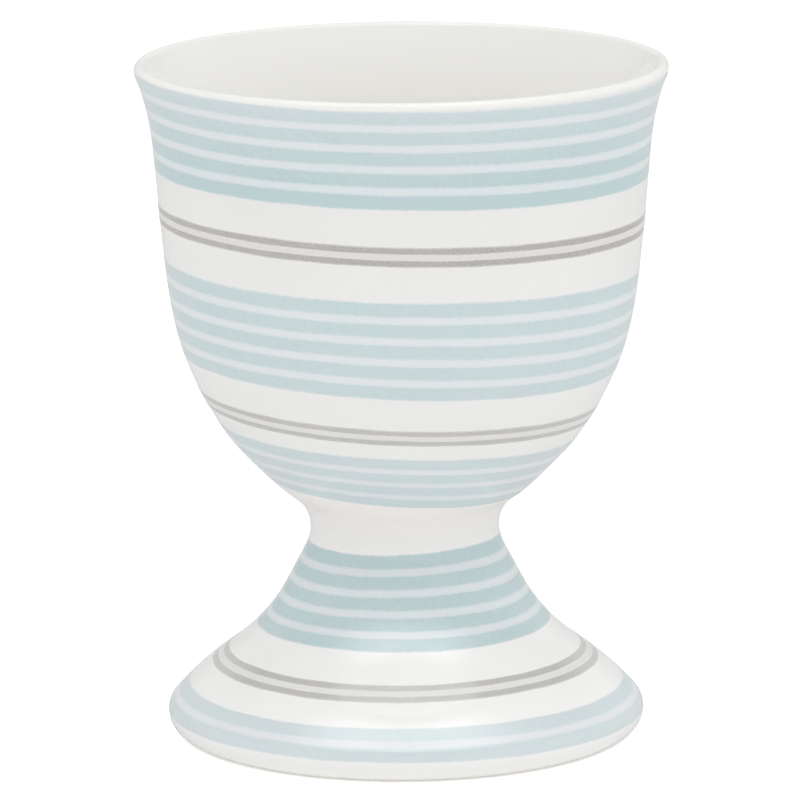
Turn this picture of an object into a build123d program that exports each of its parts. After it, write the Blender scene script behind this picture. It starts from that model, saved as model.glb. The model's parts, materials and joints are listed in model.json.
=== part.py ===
from build123d import *
import os
from math import acos, asin, cos, degrees, radians, sin

# Footed egg cup, glazed white ware with printed stripes
# Millimetres, +Z up, origin on the floor under the axis
# All sections are drawn as radius and height, then turned about the axis

# Bowl: heights are above the underside of its rounded bottom
# Drops are below the rim and insets inside the rim's radius
# Shares are of the way out from the bottom to the belly, and for the neck down from the rim to the belly
seat_height = 19.6
bowl_height = 45.4
bowl_wall = 2.4
bowl_bottom = 2.8
rim_diameter = 50.8
lip_thickness = 1.1
lip_lean_outside = 20.0
lip_lean_inside = 28.0
bottom_radius = 18.35
bottom_half_angle = 45.0
haunch_height, haunch_share = 10.4, 0.465
shoulder_height, shoulder_share = 16.4, 0.792
belly_height, belly_inset = 25.4, 2.8
neck_share, neck_inset = 0.55, 1.95
flare_drop, flare_inset = 4.2, 1.1

# Foot: heights are above the floor, spreads outside the waist's radius, insets inside the foot's radius
waist_diameter = 18.16
foot_diameter = 45.8
stem_height, stem_spread = 17.0, 0.97
skirt_height, skirt_spread = 13.0, 3.17
apron_height, apron_inset = 8.5, 6.4
toe_height, toe_inset = 5.5, 2.6
foot_edge_radius = 2.0
foot_edge_angle = 45.0
standing_ring_width = 1.6
ring_inner_round = 0.8
foot_wall = 3.1
crown_web = 2.7
hollow_dome_radius = 12.0
hollow_dome_angle = 30.0

# Slip that joins the two
slip_film = 0.3
slip_fillet_radius = 3.7

# Printed stripes
print_clearance = 0.03
print_thickness = 0.08
blue_stripe_width = 1.4
blue_stripe_gap = 0.68
grey_line_width = 0.64
grey_line_gap = 0.62
rim_blue_count = 5
upper_grey_count = 2
belly_blue_count = 5
lower_grey_count = 2
base_blue_count = 4
stem_blue_count = 5
foot_grey_count = 2
edge_blue_count = 2

# Bare glaze beside the stripe groups, along the outside; the belly group is centred in what is left
bare_lip = 1.08
bare_above_upper_grey = 3.48
bare_above_base_blue = 1.85
bare_above_slip = 2.09
bare_waist = 1.0
bare_above_edge_blue = 3.15
bare_foot_edge = 3.28


def lean(angle):
    """Direction down a wall that leans inwards by an angle from the vertical."""
    return Vector(-sin(radians(angle)), -cos(radians(angle)))


def outward(direction):
    """Normal to a downward direction, pointing away from the clay."""
    return Vector(-direction.Y, direction.X)


def inside_points(curve, points, thickness):
    """The same points moved through the wall to its inner side."""
    directions = [curve.tangent_at(curve.param_at_point(point)) for point in points]
    return [point - outward(direction) * thickness for point, direction in zip(points, directions)]


def blue_length(count):
    """Length along the outside of a group of blue stripes."""
    return count * (blue_stripe_width + blue_stripe_gap) - blue_stripe_gap


def grey_length(count):
    """Length along the outside of a group of grey lines."""
    return count * (grey_line_width + grey_line_gap) - grey_line_gap


def stretch(outline, start, length):
    """The stretch of an outline that begins at a distance along it."""
    ends = [outline.position_at(distance, PositionMode.LENGTH) for distance in (start, start + length)]
    return outline.trim(*ends)


def raised_points(curve, height):
    """Five points along a curve, lifted off the clay."""
    steps = [step / 4 for step in range(5)]
    return [curve.position_at(step) + outward(curve.tangent_at(step)) * height for step in steps]


# Outside of the bowl, from the top of the lip down to the rounded bottom
rim_height = seat_height + bowl_height
rim_radius = rim_diameter / 2
lip_radius = lip_thickness / 2
lip_center = Vector(rim_radius - lip_radius, rim_height - lip_radius)
ball_center = Vector(0, seat_height + bottom_radius)
ball_edge_angle = bottom_half_angle - 90
ball_edge_radius = bottom_radius * sin(radians(bottom_half_angle))
belly_radius = rim_radius - belly_inset
belly_reach = belly_radius - ball_edge_radius
bowl_points = [
    Vector(rim_radius - flare_inset, rim_height - flare_drop),
    Vector(rim_radius - neck_inset, rim_height - neck_share * (bowl_height - belly_height)),
    Vector(belly_radius, seat_height + belly_height),
    Vector(ball_edge_radius + shoulder_share * belly_reach, seat_height + shoulder_height),
    Vector(ball_edge_radius + haunch_share * belly_reach, seat_height + haunch_height),
]
with BuildLine() as bowl_outside:
    outer_lip = CenterArc(lip_center, lip_radius, 90, -90 - lip_lean_outside)
    ball = CenterArc(ball_center, bottom_radius, ball_edge_angle, -bottom_half_angle)
    bowl_side = Spline(
        [outer_lip @ 1, *bowl_points, ball @ 0],
        tangents=[lean(lip_lean_outside), ball % 0],
    )

with BuildPart() as bowl:
    with BuildSketch(Plane.XZ):
        with BuildLine():
            add(bowl_outside.line)
            inner_ball = CenterArc(ball_center, bottom_radius - bowl_bottom, -90, bottom_half_angle)
            inner_lip = CenterArc(lip_center, lip_radius, 180 - lip_lean_inside, lip_lean_inside - 90)
            inner_points = inside_points(bowl_side, bowl_points[1:], bowl_wall)
            Spline(
                [inner_ball @ 1, *reversed(inner_points), inner_lip @ 0],
                tangents=[inner_ball % 1, -lean(lip_lean_inside)],
            )
            Line(ball @ 1, inner_ball @ 0)
        make_face()
    revolve(axis=Axis.Z)

# Slip: a film under the ball and a fillet ring that is tangent to the foot's waist and to the ball
waist_radius = waist_diameter / 2
dish_radius = bottom_radius + slip_film
dish_half_angle = degrees(asin(waist_radius / dish_radius))
fillet_slope = degrees(acos((waist_radius + slip_fillet_radius) / (bottom_radius + slip_fillet_radius)))
with BuildLine() as seat:
    dish = CenterArc(ball_center, dish_radius, -90, dish_half_angle)

with BuildPart() as luting_slip:
    with BuildSketch(Plane.XZ):
        with BuildLine():
            add(seat.line)
            film_top = CenterArc(ball_center, bottom_radius, -90, 90 - fillet_slope)
            fillet_center = film_top @ 1 + outward(film_top % 1) * -slip_fillet_radius
            fillet = CenterArc(fillet_center, slip_fillet_radius, 180 - fillet_slope, fillet_slope)
            Line(dish @ 0, film_top @ 0)
            Line(dish @ 1, fillet @ 1)
        make_face()
    revolve(axis=Axis.Z)

# Outside of the foot, from the waist down to the floor; unit tangents keep its hollow from bulging
unit_tangents = (1.0, 1.0)
foot_radius = foot_diameter / 2
edge_center = Vector(foot_radius - foot_edge_radius, foot_edge_radius)
foot_points = [
    Vector(waist_radius + stem_spread, stem_height),
    Vector(waist_radius + skirt_spread, skirt_height),
    Vector(foot_radius - apron_inset, apron_height),
    Vector(foot_radius - toe_inset, toe_height),
]
with BuildLine() as foot_outside:
    foot_edge = CenterArc(edge_center, foot_edge_radius, foot_edge_angle, -90 - foot_edge_angle)
    foot_side = Spline([fillet @ 1, *foot_points, foot_edge @ 0], tangents=[lean(0), foot_edge % 0])

with BuildPart() as foot:
    with BuildSketch(Plane.XZ):
        with BuildLine():
            add(foot_outside.line)
            ring = Line(foot_edge @ 1, foot_edge @ 1 - Vector(standing_ring_width, 0))
            ring_round = CenterArc(ring @ 1 + Vector(0, ring_inner_round), ring_inner_round, -90, -90)
            dome_center = dish @ 0 - Vector(0, crown_web + hollow_dome_radius)
            dome = CenterArc(dome_center, hollow_dome_radius, 90 - hollow_dome_angle, hollow_dome_angle)
            hollow_points = inside_points(foot_side, foot_points[1:], foot_wall)
            Spline(
                [ring_round @ 1, *reversed(hollow_points), dome @ 0],
                tangents=[ring_round % 1, dome % 0],
                tangent_scalars=unit_tangents,
            )
            add(seat.line)
            Line(dome @ 1, dish @ 0)
            Line(dish @ 1, foot_side @ 0)
        make_face()
    revolve(axis=Axis.Z)

# Where each stripe group begins, along the bowl from the top of the lip and along the foot from the waist
bowl_line = bowl_outside.wires()[0]
foot_line = foot_outside.wires()[0]
slip_edge = bowl_line.length - bottom_radius * radians(90 - fillet_slope)
upper_grey_start = bare_lip + blue_length(rim_blue_count) + bare_above_upper_grey
base_blue_start = slip_edge - bare_above_slip - blue_length(base_blue_count)
lower_grey_start = base_blue_start - bare_above_base_blue - grey_length(lower_grey_count)
belly_room = lower_grey_start - upper_grey_start - grey_length(upper_grey_count)
belly_margin = (belly_room - blue_length(belly_blue_count)) / 2
belly_blue_start = lower_grey_start - belly_margin - blue_length(belly_blue_count)
edge_blue_start = foot_line.length - bare_foot_edge - blue_length(edge_blue_count)
foot_grey_start = edge_blue_start - bare_above_edge_blue - grey_length(foot_grey_count)

# Stripe groups: node name, outline they lie on, start, count, width and gap
blue = (blue_stripe_width, blue_stripe_gap)
grey = (grey_line_width, grey_line_gap)
stripe_groups = [
    ("rim_blue_bands", bowl_line, bare_lip, rim_blue_count, *blue),
    ("upper_grey_lines", bowl_line, upper_grey_start, upper_grey_count, *grey),
    ("belly_blue_bands", bowl_line, belly_blue_start, belly_blue_count, *blue),
    ("lower_grey_lines", bowl_line, lower_grey_start, lower_grey_count, *grey),
    ("base_blue_bands", bowl_line, base_blue_start, base_blue_count, *blue),
    ("stem_blue_bands", foot_line, bare_waist, stem_blue_count, *blue),
    ("foot_grey_lines", foot_line, foot_grey_start, foot_grey_count, *grey),
    ("foot_edge_blue_bands", foot_line, edge_blue_start, edge_blue_count, *blue),
]
pieces = {"bowl": bowl, "foot": foot, "luting_slip": luting_slip}
for node, outline, start, count, width, gap in stripe_groups:
    with BuildPart() as stripes:
        for index in range(count):
            on_glaze = stretch(outline, start + index * (width + gap), width)
            with BuildSketch(Plane.XZ):
                with BuildLine():
                    print_back = Spline(raised_points(on_glaze, print_clearance))
                    print_face = Spline(raised_points(on_glaze, print_clearance + print_thickness))
                    Line(print_back @ 0, print_face @ 0)
                    Line(print_back @ 1, print_face @ 1)
                make_face()
            revolve(axis=Axis.Z)
    pieces[node] = stripes

os.makedirs("parts", exist_ok=True)
for node, piece in pieces.items():
    piece.part.label = node
    export_step(piece.part, f"parts/{node}.step")
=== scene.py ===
"""Looks of a footed egg cup: glossy white ware with printed pale blue stripes and grey lines.

Everything is in metres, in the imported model's own frame: +Z up, origin on the floor under the axis.
"""

import json
import logging
import math
from dataclasses import dataclass, replace
from enum import Enum
from typing import ClassVar

import bpy
import numpy as np
from mathutils import Matrix, Vector


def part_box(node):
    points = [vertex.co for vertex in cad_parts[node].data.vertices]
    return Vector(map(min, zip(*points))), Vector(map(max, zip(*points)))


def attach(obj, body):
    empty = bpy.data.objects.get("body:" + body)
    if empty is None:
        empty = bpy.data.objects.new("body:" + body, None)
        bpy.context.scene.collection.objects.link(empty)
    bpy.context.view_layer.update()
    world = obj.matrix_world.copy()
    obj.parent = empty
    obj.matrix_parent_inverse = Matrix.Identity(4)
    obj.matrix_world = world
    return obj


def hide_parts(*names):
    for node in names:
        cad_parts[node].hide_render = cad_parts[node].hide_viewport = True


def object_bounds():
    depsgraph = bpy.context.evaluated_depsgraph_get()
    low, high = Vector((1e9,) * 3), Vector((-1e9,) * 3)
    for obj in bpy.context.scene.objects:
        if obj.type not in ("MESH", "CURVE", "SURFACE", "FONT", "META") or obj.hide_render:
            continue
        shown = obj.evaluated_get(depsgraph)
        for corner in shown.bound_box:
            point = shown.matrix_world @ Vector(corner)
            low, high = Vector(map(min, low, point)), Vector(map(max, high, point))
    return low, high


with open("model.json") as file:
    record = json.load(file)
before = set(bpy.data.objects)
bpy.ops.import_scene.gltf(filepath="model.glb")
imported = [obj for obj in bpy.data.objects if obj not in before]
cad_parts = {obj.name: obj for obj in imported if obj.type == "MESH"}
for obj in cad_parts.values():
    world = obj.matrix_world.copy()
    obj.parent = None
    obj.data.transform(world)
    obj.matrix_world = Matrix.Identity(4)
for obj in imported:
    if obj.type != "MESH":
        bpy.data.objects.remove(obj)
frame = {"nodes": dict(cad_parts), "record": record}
cad_low, cad_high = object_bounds()

MM = 0.001
BODY = "root"
GLAZE_IOR = 1.55
GREY_IOR = 2.4
NOISE_SPAN = (0.3, 0.7)
NOISE_MIDDLE = (0.35, 0.65)
log = logging.getLogger("egg_cup")

Triple = tuple[float, float, float]
Colour = Triple
Socket = bpy.types.NodeSocket


class Slot(Enum):
    """Names of the record's material slots; a printed group's slot picks its inks."""

    GLAZE = "white_glaze"
    SLIP = "slip"
    BLUE = "pale_blue_print"
    GREY = "grey_print"


class Ink(Enum):
    """Material slots of one printed piece."""

    STRIPE = 0
    FILM = 1


class NodeBoard:
    """A node tree of a material or the world, with short ways to add and join nodes."""

    def __init__(self, owner: bpy.types.Material | bpy.types.World, output: str) -> None:
        """Empties the owner's node tree down to its output.

        Args:
            owner: Material or world that holds the tree.
            output: Blender's identifier of the output node.
        """
        self.owner = owner
        self.owner.use_nodes = True
        self.tree = owner.node_tree
        self.tree.nodes.clear()
        self.output = self.add(output)

    @classmethod
    def material(cls, name: str) -> "NodeBoard":
        """Starts a new material."""
        return cls(bpy.data.materials.new(name), "ShaderNodeOutputMaterial")

    @classmethod
    def world(cls, name: str) -> "NodeBoard":
        """Starts a new world and makes it the scene's own."""
        bpy.context.scene.world = bpy.data.worlds.new(name)
        return cls(bpy.context.scene.world, "ShaderNodeOutputWorld")

    def add(self, kind: str, **settings: object) -> bpy.types.Node:
        """Adds a node.

        Args:
            kind: Blender's identifier of the node.
            **settings: Values for the node's own properties.

        Returns:
            The new node.
        """
        node = self.tree.nodes.new(kind)
        for key, value in settings.items():
            setattr(node, key, value)
        return node

    def join(self, source: Socket, target: Socket) -> None:
        """Links an output to an input."""
        self.tree.links.new(source, target)

    def place(self) -> Socket:
        """Position on the piece, in metres, in the cup's frame."""
        return self.add("ShaderNodeTexCoord").outputs["Object"]

    def noise(self, place: Socket, grain: float, detail: float = 2.0) -> Socket:
        """Soft noise of a real grain size.

        Args:
            place: Position that the noise is read at.
            grain: Distance from one blotch to the next, in metres.
            detail: Number of finer layers.

        Returns:
            Output with values about one half.
        """
        node = self.add("ShaderNodeTexNoise")
        node.inputs["Scale"].default_value = 1.0 / grain
        node.inputs["Detail"].default_value = detail
        self.join(place, node.inputs["Vector"])
        return node.outputs["Fac"]

    def ramp(
        self, value: Socket, low: float, high: float, to_low: float, to_high: float, soft: bool = False,
    ) -> Socket:
        """Maps one range of values to another.

        Args:
            value: Value to map.
            low: Start of the range it comes from.
            high: End of the range it comes from.
            to_low: Result at the start.
            to_high: Result at the end.
            soft: Whether the ends are eased.

        Returns:
            The mapped value, held inside the second range.
        """
        node = self.add("ShaderNodeMapRange", interpolation_type="SMOOTHSTEP" if soft else "LINEAR")
        ends = {"From Min": low, "From Max": high, "To Min": to_low, "To Max": to_high}
        for name, number in ends.items():
            node.inputs[name].default_value = number
        self.join(value, node.inputs["Value"])
        return node.outputs["Result"]

    def math(self, operation: str, first: Socket, second: Socket | float) -> Socket:
        """Arithmetic on two values.

        Args:
            operation: Blender's name of the operation.
            first: First value.
            second: Second value, a socket or a number.

        Returns:
            The result.
        """
        node = self.add("ShaderNodeMath", operation=operation)
        self.join(first, node.inputs[0])
        if isinstance(second, (int, float)):
            node.inputs[1].default_value = second
        else:
            self.join(second, node.inputs[1])
        return node.outputs["Value"]

    def dot(self, first: Socket, second: Socket | Triple) -> Socket:
        """Dot product of two vectors.

        Args:
            first: First vector.
            second: Second vector, a socket or three numbers.

        Returns:
            The product.
        """
        node = self.add("ShaderNodeVectorMath", operation="DOT_PRODUCT")
        self.join(first, node.inputs[0])
        if isinstance(second, tuple):
            node.inputs[1].default_value = second
        else:
            self.join(second, node.inputs[1])
        return node.outputs["Value"]

    def height(self, place: Socket) -> Socket:
        """Height of a position above the floor."""
        return self.dot(place, (0.0, 0.0, 1.0))

    def between(self, share: Socket, first: Socket, second: Socket) -> Socket:
        """Mixes two values.

        Args:
            share: How much of the second value is taken.
            first: Value at no share.
            second: Value at full share.

        Returns:
            The mixed value.
        """
        change = self.math("SUBTRACT", second, first)
        return self.math("ADD", first, self.math("MULTIPLY", change, share))

    def blend(self, share: Socket, first: Colour | Socket, second: Colour | Socket) -> Socket:
        """Mixes two colours.

        Args:
            share: How much of the second colour shows.
            first: Colour at no share.
            second: Colour at full share.

        Returns:
            The mixed colour.
        """
        node = self.add("ShaderNodeMix", data_type="RGBA")
        self.join(share, node.inputs["Factor"])
        for colour, name in ((first, "A"), (second, "B")):
            socket = next(s for s in node.inputs if s.name == name and s.type == "RGBA")
            if isinstance(colour, tuple):
                socket.default_value = (*colour, 1.0)
            else:
                self.join(colour, socket)
        return next(s for s in node.outputs if s.type == "RGBA")


@dataclass(frozen=True)
class GlazeRipple:
    """Faint ripple and finer peel of a fired gloss glaze, each with the distance between its waves."""

    ripple: float = 3.5 * MM
    peel: float = 0.7 * MM
    peel_share: float = 0.12
    detail: float = 1.0
    depth: float = 0.008 * MM

    def dress(self, board: NodeBoard, shader: bpy.types.Node, place: Socket) -> None:
        """Gives a shader the ripple as bump.

        Args:
            board: Material that holds the shader.
            shader: Shader that gets the bump.
            place: Position on the piece.
        """
        ripple = board.noise(place, self.ripple, self.detail)
        peel = board.noise(place, self.peel, self.detail)
        bump = board.add("ShaderNodeBump")
        bump.inputs["Strength"].default_value = 1.0
        bump.inputs["Distance"].default_value = self.depth
        height = board.math("ADD", ripple, board.math("MULTIPLY", peel, self.peel_share))
        board.join(height, bump.inputs["Height"])
        board.join(bump.outputs["Normal"], shader.inputs["Normal"])


@dataclass(frozen=True)
class WhiteGlaze:
    """Clear gloss glaze on white ware, with faint clouding and a few iron specks.

    It is whiter towards the foot. Inside the bowl and the foot it has a cream tint with painted light
    that offsets the shade there, and a painted highlight towards the rim; the waist has painted light
    and a painted warm reflection; it is wiped off the ring that the foot stands on.
    """

    name: str
    waist_low: float
    waist_high: float
    # Glaze colour at the top and at the foot: whiter towards the foot.
    top_white: Colour = (0.790, 0.784, 0.772)
    foot_white: Colour = (0.880, 0.876, 0.866)
    cloud: Colour = (0.950, 0.945, 0.935)
    # Inside colour: partly the glaze's warm tint and partly painted light that offsets the shade inside
    # the bowl and the foot.
    inside_tint_and_light: Colour = (0.862, 0.855, 0.826)
    # Painted highlight: the inside and the lip grow lighter towards the rim over the next depth.
    painted_lip_highlight: Colour = (0.885, 0.879, 0.852)
    painted_lip_highlight_depth: float = 9.0 * MM
    lip_edge: float = 1.3 * MM
    # Painted light: the waist is lighter and warmer, standing in for bounced light and a warm
    # reflection.
    painted_waist_light: Colour = (0.950, 0.902, 0.874)
    speck: Colour = (0.30, 0.28, 0.26)
    bare_clay: Colour = (0.62, 0.58, 0.52)
    speck_spacing: float = 7.0 * MM
    speck_radius: float = 0.07 * MM
    speck_share: float = 0.22
    bare_height: float = 0.35 * MM
    bare_dullness: float = 0.7
    cloud_size: float = 14.0 * MM
    cloud_detail: float = 3.0
    cloud_share: float = 0.12
    gloss_patch: float = 5.0 * MM
    roughness: tuple[float, float] = (0.07, 0.13)

    INSIDE_REACH: ClassVar[float] = 2.0 * MM
    BOTTOM_FACING: ClassVar[tuple[float, float]] = (0.82, 0.95)
    SPECK_EDGE: ClassVar[tuple[float, float]] = (0.6, 1.4)
    RAGGED_GRAIN: ClassVar[float] = 1.2 * MM
    RAGGED_DETAIL: ClassVar[float] = 3.0
    RAGGED_SHARE: ClassVar[float] = 0.5
    BARE_SHARE: ClassVar[float] = 0.4

    def material(self) -> bpy.types.Material:
        """Builds the material.

        Returns:
            The finished material.
        """
        board = NodeBoard.material(self.name)
        place = board.place()
        height = board.height(place)
        shader = board.add("ShaderNodeBsdfPrincipled")
        depth = board.ramp(height, cad_low.z, cad_high.z, 1.0, 0.0)
        blotches = board.noise(place, self.cloud_size, self.cloud_detail)
        clouds = board.ramp(blotches, *NOISE_MIDDLE, 0.0, self.cloud_share)
        colour = board.blend(clouds, board.blend(depth, self.top_white, self.foot_white), self.cloud)
        # Painted light and a painted warm reflection on the waist.
        colour = board.blend(self.painted_waist_light_mask(board, place), colour, self.painted_waist_light)
        # Painted highlight, lighter towards the rim.
        lip = board.ramp(height, cad_high.z - self.painted_lip_highlight_depth, cad_high.z, 0.0, 1.0, soft=True)
        inside_tint_and_light = board.blend(lip, self.inside_tint_and_light, self.painted_lip_highlight)
        # Inside colour, partly painted light, on the faces inside the bowl and the foot and over the
        # lip.
        colour = board.blend(self.inside_tint_and_light_mask(board, place), colour, inside_tint_and_light)
        colour = board.blend(self.speck_mask(board, place), colour, self.speck)
        bare = self.bare_mask(board, place)
        board.join(board.blend(bare, colour, self.bare_clay), shader.inputs["Base Color"])
        glossy = board.ramp(board.noise(place, self.gloss_patch), *NOISE_SPAN, *self.roughness)
        dull = board.math("MULTIPLY", bare, self.bare_dullness)
        board.join(board.math("ADD", glossy, dull), shader.inputs["Roughness"])
        shader.inputs["IOR"].default_value = GLAZE_IOR
        GlazeRipple().dress(board, shader, place)
        board.join(shader.outputs["BSDF"], board.output.inputs["Surface"])
        return board.owner

    def inside_tint_and_light_mask(self, board: NodeBoard, place: Socket) -> Socket:
        """Masks the faces that look towards the cup's axis, the bowl's level bottom and the lip, where
        the inside colour with its painted light goes.

        Args:
            board: Material being built.
            place: Position on the piece.

        Returns:
            One inside the bowl and the foot, fading to zero down the outside of the lip.
        """
        facing = board.dot(board.add("ShaderNodeNewGeometry").outputs["Normal"], place)
        height = board.height(place)
        from_height = board.math("MULTIPLY", self.upward(board), height)
        outward = board.math("SUBTRACT", facing, from_height)
        inside = board.ramp(outward, -self.INSIDE_REACH, 0.0, 1.0, 0.0, soft=True)
        bottom = board.ramp(self.upward(board), *self.BOTTOM_FACING, 0.0, 1.0, soft=True)
        # Spreads the inside colour, with its painted light, over the lip.
        lip = board.ramp(height, cad_high.z - self.lip_edge, cad_high.z, 0.0, 1.0, soft=True)
        return board.math("MAXIMUM", board.math("MAXIMUM", inside, bottom), lip)

    @staticmethod
    def upward(board: NodeBoard) -> Socket:
        """Upward part of the surface's normal."""
        return board.dot(board.add("ShaderNodeNewGeometry").outputs["Normal"], (0.0, 0.0, 1.0))

    def painted_waist_light_mask(self, board: NodeBoard, place: Socket) -> Socket:
        """Masks the waist, which is painted lighter and warmer as painted light and a painted warm
        reflection.

        Args:
            board: Material being built.
            place: Position on the piece.

        Returns:
            One at the middle of the waist, fading to zero above and below it.
        """
        middle = (self.waist_low + self.waist_high) / 2
        height = board.height(place)
        rising = board.ramp(height, self.waist_low, middle, 0.0, 1.0, soft=True)
        falling = board.ramp(height, middle, self.waist_high, 1.0, 0.0, soft=True)
        return board.math("MULTIPLY", rising, falling)

    def speck_mask(self, board: NodeBoard, place: Socket) -> Socket:
        """Masks the sparse iron specks.

        Args:
            board: Material being built.
            place: Position on the piece.

        Returns:
            One inside a speck and zero elsewhere.
        """
        cells = board.add("ShaderNodeTexVoronoi")
        cells.inputs["Scale"].default_value = 1.0 / self.speck_spacing
        board.join(place, cells.inputs["Vector"])
        reach = self.speck_radius / self.speck_spacing
        edge = [share * reach for share in self.SPECK_EDGE]
        inside = board.ramp(cells.outputs["Distance"], *edge, 1.0, 0.0, soft=True)
        split = board.add("ShaderNodeSeparateColor")
        board.join(cells.outputs["Color"], split.inputs["Color"])
        chosen = board.math("LESS_THAN", split.outputs["Red"], self.speck_share)
        return board.math("MULTIPLY", inside, chosen)

    def bare_mask(self, board: NodeBoard, place: Socket) -> Socket:
        """Masks the unglazed ring that the foot stands on.

        Args:
            board: Material being built.
            place: Position on the piece.

        Returns:
            One on the bare ring and zero on the glaze.
        """
        grain = board.noise(place, self.RAGGED_GRAIN, self.RAGGED_DETAIL)
        ragged = board.math("MULTIPLY", grain, self.RAGGED_SHARE * self.bare_height)
        height = board.math("ADD", board.height(place), ragged)
        bare_up_to = self.BARE_SHARE * self.bare_height
        return board.ramp(height, bare_up_to, self.bare_height, 1.0, 0.0, soft=True)


@dataclass(frozen=True)
class PrintedInk:
    """Ceramic colour melted into the glaze, softer at its edges and slightly grainy.

    A cover of one is full ink and zero is the white ground. The cover runs across each printed ring
    from outer_cover beyond its edge to cover inside it, and is scaled by the strengths at the group's
    lower and upper ends, which are partly the print's own strength and partly painted highlight and
    reflection that pale some groups. Shares are of the ring's width.
    """

    name: str
    first_tint: Colour
    second_tint: Colour
    cover: float
    outer_cover: float
    edge_share: float
    edge_inset: float
    grain: float
    grain_depth: float
    ior: float
    ground: Colour
    lower_strength_and_sheen: float = 1.0
    upper_strength_and_sheen: float = 1.0

    TINT_PATCH: ClassVar[float] = 3.0 * MM
    STRENGTH_PATCH: ClassVar[float] = 11.0 * MM
    STRENGTH_SPAN: ClassVar[tuple[float, float]] = (0.95, 1.05)
    GLOSS_PATCH: ClassVar[float] = 2.0 * MM
    ROUGHNESS: ClassVar[tuple[float, float]] = (0.08, 0.15)
    EDGE_GRAIN: ClassVar[float] = 0.35 * MM
    RAGGED_SHARE: ClassVar[float] = 0.3

    def material(self, low: float, high: float) -> bpy.types.Material:
        """Builds the material for one printed group.

        Args:
            low: Height of the group's lower end.
            high: Height of its upper end.

        Returns:
            The finished material.
        """
        board = NodeBoard.material(self.name)
        place = board.place()
        shader = board.add("ShaderNodeBsdfPrincipled")
        patches = board.ramp(board.noise(place, self.TINT_PATCH, 1.0), *NOISE_MIDDLE, 0.0, 1.0)
        ink = board.blend(patches, self.first_tint, self.second_tint)
        # Strengths are partly the print's own and partly painted highlight and reflection.
        ends = (self.lower_strength_and_sheen, self.upper_strength_and_sheen)
        strength = board.ramp(board.height(place), low, high, *ends)
        cover = board.math("MULTIPLY", self.ring_cover(board, place), strength)
        cover = board.math("MULTIPLY", cover, self.grain_cover(board, place))
        board.join(board.blend(cover, self.ground, ink), shader.inputs["Base Color"])
        roughness = board.ramp(board.noise(place, self.GLOSS_PATCH), *NOISE_SPAN, *self.ROUGHNESS)
        board.join(roughness, shader.inputs["Roughness"])
        shader.inputs["IOR"].default_value = self.ior
        GlazeRipple().dress(board, shader, place)
        board.join(shader.outputs["BSDF"], board.output.inputs["Surface"])
        return board.owner

    def ring_cover(self, board: NodeBoard, place: Socket) -> Socket:
        """How much ink lies at a point across a ring, with slightly ragged edges.

        Args:
            board: Material being built.
            place: Position on the piece.

        Returns:
            The cover.
        """
        across = board.add("ShaderNodeUVMap", uv_map=PrintedGroup.ACROSS_MAP)
        share = board.dot(across.outputs["UV"], (0.0, 1.0, 0.0))
        rest = board.math("ADD", board.math("MULTIPLY", share, -1.0), 1.0)
        reach = self.RAGGED_SHARE * self.edge_share
        ragged = board.ramp(board.noise(place, self.EDGE_GRAIN), *NOISE_SPAN, -reach, reach)
        depth = board.math("ADD", board.math("MINIMUM", share, rest), ragged)
        outer = self.edge_inset - self.edge_share
        inner = self.edge_inset + self.edge_share
        return board.ramp(depth, outer, inner, self.outer_cover, self.cover, soft=True)

    def grain_cover(self, board: NodeBoard, place: Socket) -> Socket:
        """Printed grain and slow changes of strength.

        Args:
            board: Material being built.
            place: Position on the piece.

        Returns:
            A factor for the cover.
        """
        depth = self.grain_depth
        grain = board.ramp(board.noise(place, self.grain, 1.0), *NOISE_SPAN, -depth, depth)
        slow = board.ramp(board.noise(place, self.STRENGTH_PATCH), *NOISE_SPAN, *self.STRENGTH_SPAN)
        return board.math("ADD", grain, slow)


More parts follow.
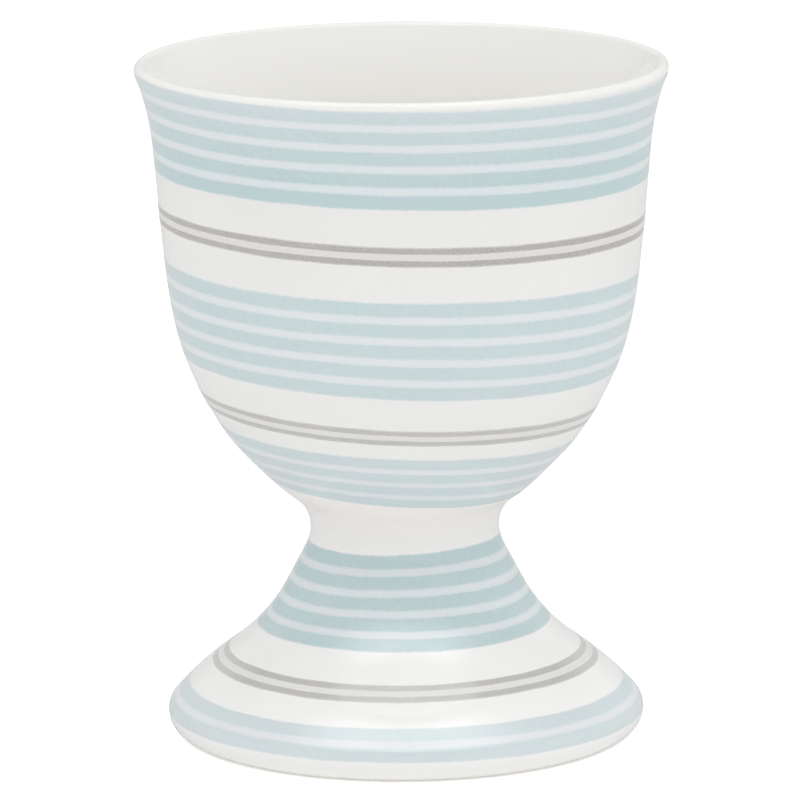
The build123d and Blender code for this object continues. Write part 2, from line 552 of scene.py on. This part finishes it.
@dataclass
class Outline:
    """Outside of a turned clay piece, as radius and height by distance from its top end."""

    distances: np.ndarray
    radii: np.ndarray
    heights: np.ndarray

    STEP: ClassVar[float] = 0.25 * MM
    FINE_STEP: ClassVar[float] = 0.01 * MM
    SIDE_FACING: ClassVar[float] = 0.3
    DIGITS: ClassVar[int] = 7

    @classmethod
    def of(cls, node: str) -> "Outline":
        """Reads the outline off a CAD node's outward faces.

        Args:
            node: Name of the CAD node, a piece turned about the Z axis.

        Returns:
            The outline, with points about one step apart.
        """
        mesh = frame["nodes"][node].data
        spokes = cls.triples(mesh.polygons, "center")[:, :2]
        spokes = spokes / np.linalg.norm(spokes, axis=1, keepdims=True)
        normals = cls.triples(mesh.polygons, "normal")
        facing = np.einsum("ij,ij->i", normals[:, :2], spokes)
        corners = cls.triples(mesh.loops, "vertex_index", np.int32, width=1)
        outer = np.unique(corners[facing > cls.SIDE_FACING])
        points = cls.triples(mesh.vertices, "co")[outer].astype(float)
        order = np.argsort(-points[:, 2])
        heights = points[order, 2]
        radii = np.hypot(points[order, 0], points[order, 1])
        along = cls.walked(radii, heights)
        starts = np.unique((along / cls.STEP).astype(int), return_index=True)[1]
        counts = np.diff(np.append(starts, len(along)))
        radii = np.add.reduceat(radii, starts) / counts
        heights = np.add.reduceat(heights, starts) / counts
        return cls(cls.walked(radii, heights), radii, heights)

    @staticmethod
    def triples(
        items: bpy.types.bpy_prop_collection, field: str, kind: type = np.float32, width: int = 3,
    ) -> np.ndarray:
        """Reads one field of a triangle mesh.

        Args:
            items: The mesh's vertices, polygons or loops.
            field: Name of the field.
            kind: Kind of number that the field holds.
            width: How many numbers it holds for each item.

        Returns:
            Three numbers in each row: a place, a direction, or a triangle's corners.
        """
        values = np.empty(len(items) * width, kind)
        items.foreach_get(field, values)
        return values.reshape(-1, 3)

    @staticmethod
    def walked(radii: np.ndarray, heights: np.ndarray) -> np.ndarray:
        """Distances of a line's points from its first one, along the line."""
        return np.concatenate([[0.0], np.cumsum(np.hypot(np.diff(radii), np.diff(heights)))])

    def at(self, distances: np.ndarray) -> tuple[np.ndarray, np.ndarray, np.ndarray, np.ndarray]:
        """Points and outward normals of a smooth curve through the outline.

        Args:
            distances: Distances from the top end.

        Returns:
            Radii, heights, and the radial and upward parts of the normals.
        """
        inside = np.clip(distances, self.distances[0], self.distances[-1])
        left = np.clip(np.searchsorted(self.distances, inside) - 1, 0, len(self.distances) - 2)
        span = self.distances[left + 1] - self.distances[left]
        t = (inside - self.distances[left]) / span
        radius, radius_slope = self.hermite(self.radii, left, span, t)
        height, height_slope = self.hermite(self.heights, left, span, t)
        length = np.hypot(radius_slope, height_slope)
        return radius, height, -height_slope / length, radius_slope / length

    def hermite(
        self, values: np.ndarray, left: np.ndarray, span: np.ndarray, t: np.ndarray,
    ) -> tuple[np.ndarray, np.ndarray]:
        """Cubic interpolation of one coordinate.

        Args:
            values: The coordinate at the outline's points.
            left: Index of the point before each place.
            span: Length of the stretch that each place lies on.
            t: Share of that stretch.

        Returns:
            The coordinate and its slope.
        """
        slopes = np.gradient(values, self.distances)
        first, last = values[left], values[left + 1]
        leave, arrive = slopes[left] * span, slopes[left + 1] * span
        bend = 2 * first - 2 * last + leave + arrive
        turn = -3 * first + 3 * last - 2 * leave - arrive
        value = ((bend * t + turn) * t + leave) * t + first
        slope = ((3 * bend * t + 2 * turn) * t + leave) / span
        return value, slope

    def nearest(self, points: np.ndarray) -> np.ndarray:
        """Distances along the outline of the places nearest to some points.

        Args:
            points: Places in the cup's frame, one per row.

        Returns:
            One distance for each point.
        """
        fine = np.arange(0.0, self.distances[-1], self.FINE_STEP)
        radii, heights, _, _ = self.at(fine)
        around = np.hypot(points[:, 0], points[:, 1])
        rounded = np.round(np.stack([around, points[:, 2]], 1), self.DIGITS)
        pairs, back = np.unique(rounded, axis=0, return_inverse=True)
        found = np.array([fine[np.argmin((radii - r) ** 2 + (heights - z) ** 2)] for r, z in pairs])
        return found[back.ravel()]

    def stretches(self, node: str) -> list[tuple[float, float]]:
        """Stretches of the outline that a CAD node's solids cover.

        Args:
            node: Name of the CAD node, a group of rings round this outline.

        Returns:
            Start and end of each ring, from the top down.
        """
        mesh = frame["nodes"][node].data
        places = self.triples(mesh.vertices, "co").astype(float)
        corners = self.triples(mesh.loops, "vertex_index", np.int32, width=1)
        along = self.nearest(places)[corners]
        merged: list[list[float]] = []
        for low, high in sorted(zip(along.min(1), along.max(1))):
            if merged and low <= merged[-1][1] + 2 * self.FINE_STEP:
                merged[-1][1] = max(merged[-1][1], high)
            else:
                merged.append([low, high])
        return [(low, high) for low, high in merged]


@dataclass(frozen=True)
class Drift:
    """How a hand-laid transfer strays from level on its way round.

    The dip is how far its +X side lies below its middle, and grows along the outline by dip_growth for
    each metre. A finer ripple and flutter are added to it.
    """

    dip: float
    dip_growth: float
    ripple: float = 0.05 * MM
    flutter: float = 0.012 * MM

    RIPPLE_WAVES: ClassVar[int] = 3
    RIPPLE_TURN: ClassVar[float] = 0.4 / MM
    FLUTTER_WAVES: ClassVar[tuple[int, ...]] = (9, 14, 23)

    def shift(self, distance: float, angles: np.ndarray, seed: int) -> np.ndarray:
        """How far down an edge has strayed.

        Args:
            distance: The edge's level distance along the outline.
            angles: Angles round the cup.
            seed: Number of the edge, which sets its own flutter.

        Returns:
            One shift for each angle, in metres along the outline.
        """
        phases = np.random.default_rng(seed).uniform(0.0, 2 * math.pi, len(self.FLUTTER_WAVES))
        dip = (self.dip + self.dip_growth * distance) * np.cos(angles)
        ripple = self.ripple * np.sin(self.RIPPLE_WAVES * angles + self.RIPPLE_TURN * distance)
        waves = [np.sin(count * angles + phase) for count, phase in zip(self.FLUTTER_WAVES, phases)]
        return dip + ripple + self.flutter * sum(waves)


@dataclass
class Row:
    """One line of vertices round a transfer."""

    places: np.ndarray
    normals: np.ndarray


@dataclass(frozen=True)
class Strip:
    """Faces between a row and the next one.

    The shares are of the printed ring's width, and the bake heights are where the strip lies in the
    map that its texture is baked to.
    """

    ink: Ink
    upper_share: float
    lower_share: float
    upper_bake: float
    lower_bake: float
    back: bool = False


@dataclass
class PrintedGroup:
    """A transfer with a group of printed rings, and its tinted film between them.

    It stands a rise above the glaze, and its back is sunk into the glaze and reaches past the printed
    edges by the taper. Bake heights run from zero to one.
    """

    node: str
    outline: Outline
    drift: Drift
    slot: Slot
    stripe: PrintedInk
    film: PrintedInk
    stretch: float = 1.0
    rounds: int = 256
    stripe_rows: int = 7
    film_rows: int = 4
    rise: float = 0.025 * MM
    sink: float = 0.03 * MM
    taper: float = 0.12 * MM

    ACROSS_MAP: ClassVar[str] = "Across"
    BAKE_MAP: ClassVar[str] = "OFBake"
    BAKE_MARGIN: ClassVar[float] = 0.01
    FACE_BAKE: ClassVar[float] = 0.88
    FILM_MIDDLE: ClassVar[float] = 0.5

    def angles(self) -> np.ndarray:
        """Angles of the spokes round the cup."""
        return np.linspace(0.0, 2 * math.pi, self.rounds, endpoint=False)

    def edges(self) -> list[np.ndarray]:
        """Edges of the rings from the top down, each as distances round the cup.

        Returns:
            Two edges for each ring.
        """
        angles = self.angles()
        level = np.array(self.outline.stretches(self.node)).ravel()
        middle = (level[0] + level[-1]) / 2
        laid = middle + (level - middle) * self.stretch
        first_seed = sum(ord(letter) for letter in self.node)
        return [
            edge + self.drift.shift(edge, angles, first_seed + index)
            for index, edge in enumerate(laid)
        ]

    def row(self, distances: np.ndarray, lift: float) -> Row:
        """One line of vertices.

        Args:
            distances: Its distances along the outline, one for each spoke.
            lift: Its height above the glaze.

        Returns:
            The row.
        """
        angles = self.angles()
        radius, height, out, up = self.outline.at(distances)
        reach = radius + out * lift
        places = np.stack([reach * np.cos(angles), reach * np.sin(angles), height + up * lift], 1)
        normals = np.stack([out * np.cos(angles), out * np.sin(angles), up], 1)
        return Row(places, normals)

    def printed_face(self, edges: list[np.ndarray]) -> tuple[list[Row], list[Strip]]:
        """Rows and strips of the printed side, from the top edge to the bottom edge.

        Args:
            edges: Edges of the rings.

        Returns:
            The rows, and the strips between them.
        """
        rows: list[Row] = []
        strips: list[Strip] = []
        top = edges[0].mean()
        scale = self.FACE_BAKE / (edges[-1].mean() - top)
        for index, (upper, lower) in enumerate(zip(edges, edges[1:])):
            ink = Ink.STRIPE if index % 2 == 0 else Ink.FILM
            count = self.stripe_rows if ink is Ink.STRIPE else self.film_rows
            for step in range(count):
                shares = (step / count, (step + 1) / count)
                lines = [upper + (lower - upper) * share for share in shares]
                rows.append(self.row(lines[0], self.rise))
                bakes = [self.BAKE_MARGIN + scale * (line.mean() - top) for line in lines]
                strips.append(Strip(ink, *shares, *bakes))
        rows.append(self.row(edges[-1], self.rise))
        return rows, strips

    def hidden_back(self, edges: list[np.ndarray]) -> tuple[list[Row], list[Strip]]:
        """Rows and strips of the two tapered edges and the side that is sunk in the glaze.

        Args:
            edges: Edges of the rings.

        Returns:
            The rows, and the strips that close the transfer.
        """
        middles = [(upper + lower) / 2 for upper, lower in zip(edges, edges[1:])]
        level = [edges[0] - self.taper, *edges[1:-1], edges[-1] + self.taper]
        sunk = [line for pair in zip(level, middles) for line in pair] + level[-1:]
        rows = [self.row(line, -self.sink) for line in reversed(sunk)]
        spare = 1.0 - self.FACE_BAKE - 3 * self.BAKE_MARGIN
        start = self.FACE_BAKE + 2 * self.BAKE_MARGIN
        bakes = [start + spare * number / (len(rows) + 1) for number in range(len(rows) + 2)]
        tapered = self.taper / (edges[1] - edges[0]).mean()
        strips = [Strip(Ink.STRIPE, 1.0, 1.0 + tapered, *bakes[:2])]
        shares = (self.FILM_MIDDLE, self.FILM_MIDDLE)
        pairs = zip(bakes[1:-2], bakes[2:-1])
        strips.extend(Strip(Ink.FILM, *shares, *pair, back=True) for pair in pairs)
        strips.append(Strip(Ink.STRIPE, -tapered, 0.0, *bakes[-2:]))
        return rows, strips

    def build(self) -> bpy.types.Object:
        """Builds the transfer as a closed shell of slight thickness and puts it in the CAD node's
        place.

        Returns:
            The printed piece.
        """
        edges = self.edges()
        face_rows, face_strips = self.printed_face(edges)
        back_rows, back_strips = self.hidden_back(edges)
        mesh = self.shell(face_rows + back_rows, face_strips + back_strips)
        low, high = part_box(self.node)
        for finish in (self.stripe, self.film):
            mesh.materials.append(finish.material(low.z, high.z))
        piece = bpy.data.objects.new(self.node + "_print", mesh)
        bpy.context.scene.collection.objects.link(piece)
        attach(piece, BODY)
        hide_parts(self.node)
        return piece

    def shell(self, rows: list[Row], strips: list[Strip]) -> bpy.types.Mesh:
        """Joins rows to a closed mesh with its two maps, shaded like the glaze that it lies in.

        Args:
            rows: Rows of the shell, in order round its section.
            strips: Strips that follow each row.

        Returns:
            The mesh.
        """
        spokes = np.arange(self.rounds)
        turned = (spokes + 1) % self.rounds
        turn = self.BAKE_MARGIN + (1 - 2 * self.BAKE_MARGIN) * np.arange(self.rounds + 1) / self.rounds
        faces, normals, across, bake = [], [], [], []
        for index, strip in enumerate(strips):
            after = (index + 1) % len(rows)
            upper, lower = index * self.rounds, after * self.rounds
            faces.append(np.stack([upper + spokes, lower + spokes, lower + turned, upper + turned], 1))
            above, below = rows[index].normals, rows[after].normals
            sign = -1.0 if strip.back else 1.0
            normals.append(sign * np.stack([above, below, below[turned], above[turned]], 1))
            sides = (turn[:-1], turn[:-1], turn[1:], turn[1:])
            shares = (strip.upper_share, strip.lower_share, strip.lower_share, strip.upper_share)
            bakes = (strip.upper_bake, strip.lower_bake, strip.lower_bake, strip.upper_bake)
            across.append(np.stack([self.corner(side, share) for side, share in zip(sides, shares)], 1))
            bake.append(np.stack([self.corner(side, height) for side, height in zip(sides, bakes)], 1))
        mesh = bpy.data.meshes.new(self.node + "_print")
        places = np.concatenate([row.places for row in rows])
        mesh.from_pydata(places.tolist(), [], np.concatenate(faces).tolist())
        for name, values in ((self.ACROSS_MAP, across), (self.BAKE_MAP, bake)):
            layer = mesh.uv_layers.new(name=name)
            layer.data.foreach_set("uv", np.concatenate(values).ravel())
        inks = np.repeat([strip.ink.value for strip in strips], self.rounds)
        mesh.polygons.foreach_set("material_index", inks)
        mesh.polygons.foreach_set("use_smooth", np.ones(len(mesh.polygons), bool))
        mesh.normals_split_custom_set(np.concatenate(normals).reshape(-1, 3).tolist())
        return mesh

    @staticmethod
    def corner(turn: np.ndarray, height: float) -> np.ndarray:
        """Places in a map of one corner of each face in a strip."""
        return np.stack([turn, np.full(len(turn), height)], 1)


@dataclass
class ClayBody:
    """Bowl, foot and the slip between them: CAD pieces that keep their shape and get their glaze.

    The waist's painted light runs from a little above the slip's lower end to a distance above its
    upper end.
    """

    painted_waist_from: float = 0.4 * MM
    painted_waist_above: float = 4.5 * MM

    SLOTS: ClassVar[dict[str, Slot]] = {
        "bowl": Slot.GLAZE,
        "foot": Slot.GLAZE,
        "luting_slip": Slot.SLIP,
    }

    def dress(self) -> list[bpy.types.Object]:
        """Puts the glaze on.

        Returns:
            The dressed pieces.
        """
        low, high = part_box("luting_slip")
        dressed = []
        for node, slot in self.SLOTS.items():
            piece = frame["nodes"][node]
            glaze = WhiteGlaze(node + "_glaze", low.z + self.painted_waist_from, high.z + self.painted_waist_above)
            piece.material_slots[0].material = glaze.material()
            dressed.append(piece)
        return dressed


@dataclass(frozen=True)
class Studio:
    """White floor and soft light from all round, strongest overhead.

    The floor glows for the camera, so that it is as white as the background, and a little light seeps
    through it close to the foot. Gloss reflects a dimmer floor, a surround that darkens upwards, and a
    broad softbox high up in front. Sines are those of the elevations over which the surround darkens
    and the softbox begins and ends, and depths are the Y of the directions over which the softbox ends
    towards the back.
    """

    floor_radius: float = 3.0
    floor_sides: int = 128
    floor_colour: Colour = (0.92, 0.92, 0.92)
    reflected_floor: Colour = (0.62, 0.62, 0.62)
    floor_glow: float = 0.30
    seep: float = 0.40
    seep_reach: float = 2.0 * MM
    horizon: float = 0.89
    zenith: float = 1.66
    reflected_horizon: float = 0.85
    reflected_softbox: float = 3.2
    reflected_ceiling: float = 0.25
    ceiling_sines: tuple[float, float] = (0.30, 0.65)
    softbox_low_sines: tuple[float, float] = (0.72, 0.94)
    softbox_high_sines: tuple[float, float] = (0.94, 0.99)
    softbox_depths: tuple[float, float] = (-0.30, 0.10)
    background: float = 1.25
    favour: Triple = (0.06, -0.12, 0.0)

    def build(self) -> None:
        """Builds the floor and the surround."""
        floor = bpy.data.objects.new("floor", self.floor_mesh())
        floor.location.z = cad_low.z
        floor.data.materials.append(self.floor_finish())
        bpy.context.scene.collection.objects.link(floor)
        self.light_surround()

    def floor_mesh(self) -> bpy.types.Mesh:
        """Makes the floor, with a hole inside the standing ring that lets light into the foot.

        Returns:
            The floor's mesh, a flat ring.
        """
        mounts = {mount["name"]: mount for mount in frame["record"]["mounts"]}
        hole_radius = mounts["standing_ring"]["pos_m"][0]
        angles = [2 * math.pi * side / self.floor_sides for side in range(self.floor_sides)]
        corners = [
            (radius * math.cos(angle), radius * math.sin(angle), 0.0)
            for radius in (hole_radius, self.floor_radius)
            for angle in angles
        ]
        inner = list(range(self.floor_sides))
        turned = inner[1:] + inner[:1]
        faces = [(i, i + self.floor_sides, j + self.floor_sides, j) for i, j in zip(inner, turned)]
        mesh = bpy.data.meshes.new("floor")
        mesh.from_pydata(corners, [], faces)
        return mesh

    def floor_finish(self) -> bpy.types.Material:
        """Makes the floor white; it keeps the cup's shadow and can be seen through from below.

        Returns:
            The finished material.
        """
        board = NodeBoard.material("white_floor")
        path = board.add("ShaderNodeLightPath")
        white = board.add("ShaderNodeBsdfDiffuse")
        colour = board.blend(path.outputs["Is Glossy Ray"], self.floor_colour, self.reflected_floor)
        board.join(colour, white.inputs["Color"])
        shown = board.math("MULTIPLY", path.outputs["Is Camera Ray"], self.floor_glow)
        close = board.ramp(path.outputs["Ray Length"], 0.0, self.seep_reach, self.seep, 0.0)
        seeping = board.math("MULTIPLY", path.outputs["Is Diffuse Ray"], close)
        glow = board.add("ShaderNodeEmission")
        board.join(board.math("ADD", shown, seeping), glow.inputs["Strength"])
        upper = board.add("ShaderNodeAddShader")
        board.join(white.outputs["BSDF"], upper.inputs[0])
        board.join(glow.outputs["Emission"], upper.inputs[1])
        clear = board.add("ShaderNodeBsdfTransparent")
        sided = board.add("ShaderNodeMixShader")
        board.join(board.add("ShaderNodeNewGeometry").outputs["Backfacing"], sided.inputs["Fac"])
        board.join(upper.outputs["Shader"], sided.inputs[1])
        board.join(clear.outputs["BSDF"], sided.inputs[2])
        board.join(sided.outputs["Shader"], board.output.inputs["Surface"])
        return board.owner

    def light_surround(self) -> None:
        """Lights the cup from all round, a little more from the front and the right."""
        board = NodeBoard.world("surround")
        way = board.add("ShaderNodeTexCoord").outputs["Generated"]
        lit = board.ramp(board.height(way), 0.0, 1.0, self.horizon, self.zenith)
        path = board.add("ShaderNodeLightPath")
        strength = board.between(path.outputs["Is Glossy Ray"], lit, self.reflected_light(board, way))
        favoured = board.math("ADD", board.dot(way, self.favour), 1.0)
        strength = board.math("MULTIPLY", strength, favoured)
        seen = board.math("MULTIPLY", path.outputs["Is Camera Ray"], self.background)
        light = board.add("ShaderNodeBackground")
        board.join(board.math("MAXIMUM", strength, seen), light.inputs["Strength"])
        board.join(light.outputs["Background"], board.output.inputs["Surface"])

    def reflected_light(self, board: NodeBoard, way: Socket) -> Socket:
        """Strength of the surround that gloss reflects.

        Args:
            board: World being built.
            way: Direction that is looked in.

        Returns:
            The strength in that direction.
        """
        height = board.height(way)
        levels = (self.reflected_horizon, self.reflected_ceiling)
        sides = board.ramp(height, *self.ceiling_sines, *levels, soft=True)
        begins = board.ramp(height, *self.softbox_low_sines, 0.0, self.reflected_softbox, soft=True)
        ends = board.ramp(height, *self.softbox_high_sines, 1.0, 0.0, soft=True)
        back = board.dot(way, (0.0, 1.0, 0.0))
        in_front = board.ramp(back, *self.softbox_depths, 1.0, 0.0, soft=True)
        softbox = board.math("MULTIPLY", board.math("MULTIPLY", begins, ends), in_front)
        return board.math("ADD", sides, softbox)


@dataclass(frozen=True)
class PhotoCamera:
    """Camera at the photograph's viewing angle."""

    target_x: float = -0.367 * MM
    target_z: float = 32.118 * MM
    distance: float = 697.95 * MM
    elevation: float = math.radians(11.664)
    roll: float = math.radians(0.447)
    lens: float = 327.84
    sensor: float = 36.0
    near: float = 10.0 * MM

    def build(self) -> bpy.types.Object:
        """Places the camera and makes it the scene's own.

        Returns:
            The camera.
        """
        data = bpy.data.cameras.new("photo_camera")
        data.lens = self.lens
        data.sensor_width = self.sensor
        data.clip_start = self.near
        camera = bpy.data.objects.new("photo_camera", data)
        target = Vector((self.target_x, 0.0, self.target_z))
        back = Vector((0.0, -math.cos(self.elevation), math.sin(self.elevation)))
        turn = (-back).to_track_quat("-Z", "Y").to_matrix().to_4x4()
        stand = Matrix.Translation(target + back * self.distance)
        camera.matrix_world = stand @ turn @ Matrix.Rotation(-self.roll, 4, "Z")
        bpy.context.scene.collection.objects.link(camera)
        bpy.context.scene.camera = camera
        return camera


@dataclass(frozen=True)
class Transfer:
    """One printed group: its CAD node, the clay that it lies on, and how it was printed and laid.

    The strengths are those of its lower and upper ends, partly the print's own and partly painted
    highlight and reflection that pale the ink, and the stretch is across the stripes.
    """

    node: str
    clay: str
    slot: Slot
    lower_strength_and_sheen: float
    upper_strength_and_sheen: float
    stretch: float = 1.0


@dataclass
class EggCup:
    """The whole cup: clay body and printed groups."""

    blue_ink: PrintedInk
    blue_film: PrintedInk
    grey_ink: PrintedInk
    grey_film: PrintedInk

    # Strengths at the lower and upper ends: partly the print's own, partly painted highlight and
    # reflection that pale the foot's grey lines and edge bands.
    TRANSFERS: ClassVar[tuple[Transfer, ...]] = (
        Transfer("rim_blue_bands", "bowl", Slot.BLUE, 1.08, 0.66),
        Transfer("upper_grey_lines", "bowl", Slot.GREY, 0.86, 0.86, stretch=0.94),
        Transfer("belly_blue_bands", "bowl", Slot.BLUE, 0.76, 0.80),
        Transfer("lower_grey_lines", "bowl", Slot.GREY, 0.66, 0.66, stretch=0.92),
        Transfer("base_blue_bands", "bowl", Slot.BLUE, 0.62, 0.70),
        Transfer("stem_blue_bands", "foot", Slot.BLUE, 0.91, 1.00),
        Transfer("foot_grey_lines", "foot", Slot.GREY, 0.53, 0.53, stretch=1.08),
        Transfer("foot_edge_blue_bands", "foot", Slot.BLUE, 0.60, 0.62),
    )
    DRIFTS: ClassVar[dict[str, Drift]] = {
        "bowl": Drift(0.30 * MM, 0.0215),
        "foot": Drift(-0.36 * MM, 0.0157),
    }

    def build(self) -> list[bpy.types.Object]:
        """Dresses the clay and builds the printed groups.

        Returns:
            Every piece of the cup that shows.
        """
        pieces = ClayBody().dress()
        outlines = {clay: Outline.of(clay) for clay in self.DRIFTS}
        for transfer in self.TRANSFERS:
            pieces.append(self.group(transfer, outlines[transfer.clay]).build())
        return pieces

    def group(self, transfer: Transfer, outline: Outline) -> PrintedGroup:
        """Describes one printed group.

        Args:
            transfer: The group's place and strength.
            outline: Outline that it lies on.

        Returns:
            The group, not yet built.
        """
        grey = transfer.slot is Slot.GREY
        inks = (self.grey_ink, self.grey_film) if grey else (self.blue_ink, self.blue_film)
        ends = {"lower_strength_and_sheen": transfer.lower_strength_and_sheen, "upper_strength_and_sheen": transfer.upper_strength_and_sheen}
        stripe, film = (replace(ink, name=f"{transfer.node}_{ink.name}", **ends) for ink in inks)
        return PrintedGroup(
            node=transfer.node,
            outline=outline,
            drift=self.DRIFTS[transfer.clay],
            slot=transfer.slot,
            stripe=stripe,
            film=film,
            stretch=transfer.stretch,
        )


def main() -> None:
    """Builds the cup, its studio and the camera."""
    logging.basicConfig(level=logging.INFO, format="%(message)s")
    bpy.context.scene.view_settings.view_transform = "Standard"
    PhotoCamera().build()
    blue = PrintedInk(
        name="ink",
        first_tint=(0.490, 0.628, 0.630),
        second_tint=(0.505, 0.618, 0.640),
        cover=1.0,
        outer_cover=0.0,
        edge_share=0.12,
        edge_inset=0.0,
        grain=0.5 * MM,
        grain_depth=0.05,
        ior=GLAZE_IOR,
        ground=(0.838, 0.836, 0.850),
    )
    grey = PrintedInk(
        name="ink",
        first_tint=(0.348, 0.329, 0.313),
        second_tint=(0.363, 0.335, 0.305),
        cover=1.0,
        outer_cover=0.28,
        edge_share=0.14,
        edge_inset=0.03,
        grain=0.16 * MM,
        grain_depth=0.14,
        ior=GREY_IOR,
        ground=(0.838, 0.832, 0.818),
    )
    cup = EggCup(
        blue_ink=blue,
        blue_film=replace(blue, name="film", cover=0.38, outer_cover=0.80, edge_share=0.26),
        grey_ink=grey,
        grey_film=replace(grey, name="film", cover=0.28, outer_cover=0.28, ior=GLAZE_IOR),
    )
    for piece in cup.build():
        log.info("built %s with %d faces", piece.name, len(piece.data.polygons))
    Studio().build()


if __name__ == "__main__":
    main()
